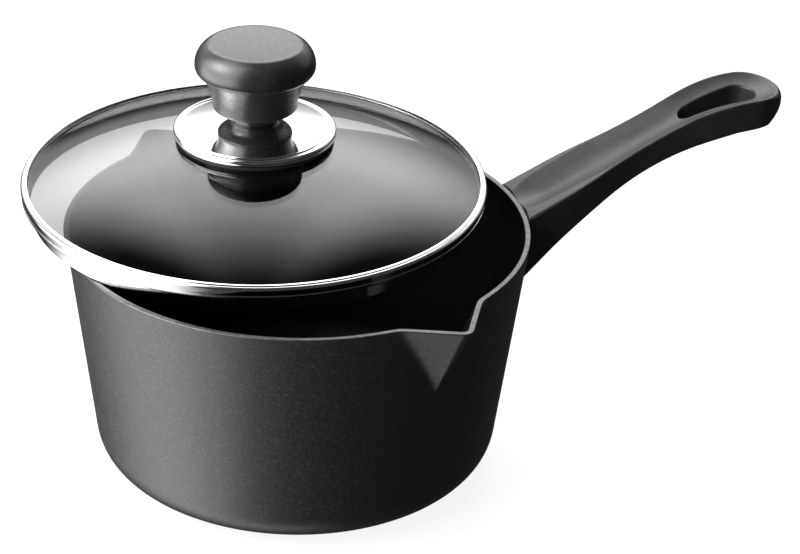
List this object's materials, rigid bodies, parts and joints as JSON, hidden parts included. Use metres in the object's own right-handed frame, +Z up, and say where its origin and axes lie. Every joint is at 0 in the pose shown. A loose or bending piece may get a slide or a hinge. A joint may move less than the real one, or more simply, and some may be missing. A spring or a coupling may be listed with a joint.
{
  "type": "saucepan with glass lid",
  "caption": "Coated cast saucepan with opposite pouring spouts, a moulded handle with a hanging slot, and a steel-rimmed glass lid with a round knob, set askew on the rim.",
  "frame": {"origin": "centre of the pan's flat base, where it stands on a surface", "axes": "+Z up out of the pan, +X along the handle away from the pan, +Y to the left of the handle seen from above with the handle pointing right"},
  "size_m": [0.3112, 0.2179, 0.1712],
  "materials": {
    "pan_coating": "dark non-stick coating with fine speckle on cast aluminium",
    "phenolic": "satin moulded black",
    "knob_phenolic": "satin moulded dark grey",
    "clear_glass": "clear tempered glass",
    "polished_steel": "mirror polished stainless steel",
    "silicone": "black silicone",
    "brass": "machined",
    "zinc_steel": "plain machined"
  },
  "bodies": {
    "pan": {"pan_body": "pan_coating", "handle_grip": "phenolic", "handle_spring_lock": "zinc_steel"},
    "lid": {"lid_glass": "clear_glass", "lid_rim_band": "polished_steel", "glass_edge_seal": "silicone", "knob_disc": "polished_steel", "disc_gasket": "silicone", "knob_head": "knob_phenolic", "knob_insert": "brass", "knob_screw": "zinc_steel", "screw_washer": "zinc_steel", "screw_lock_washer": "zinc_steel", "underside_boss": "phenolic", "boss_gasket": "silicone"}
  },
  "joints": [
    {"name": "lid_lift", "type": "slide", "parent": "pan", "child": "lid", "axis": [0, 0, 1], "range_m": [0, 0.12]}
  ]
}
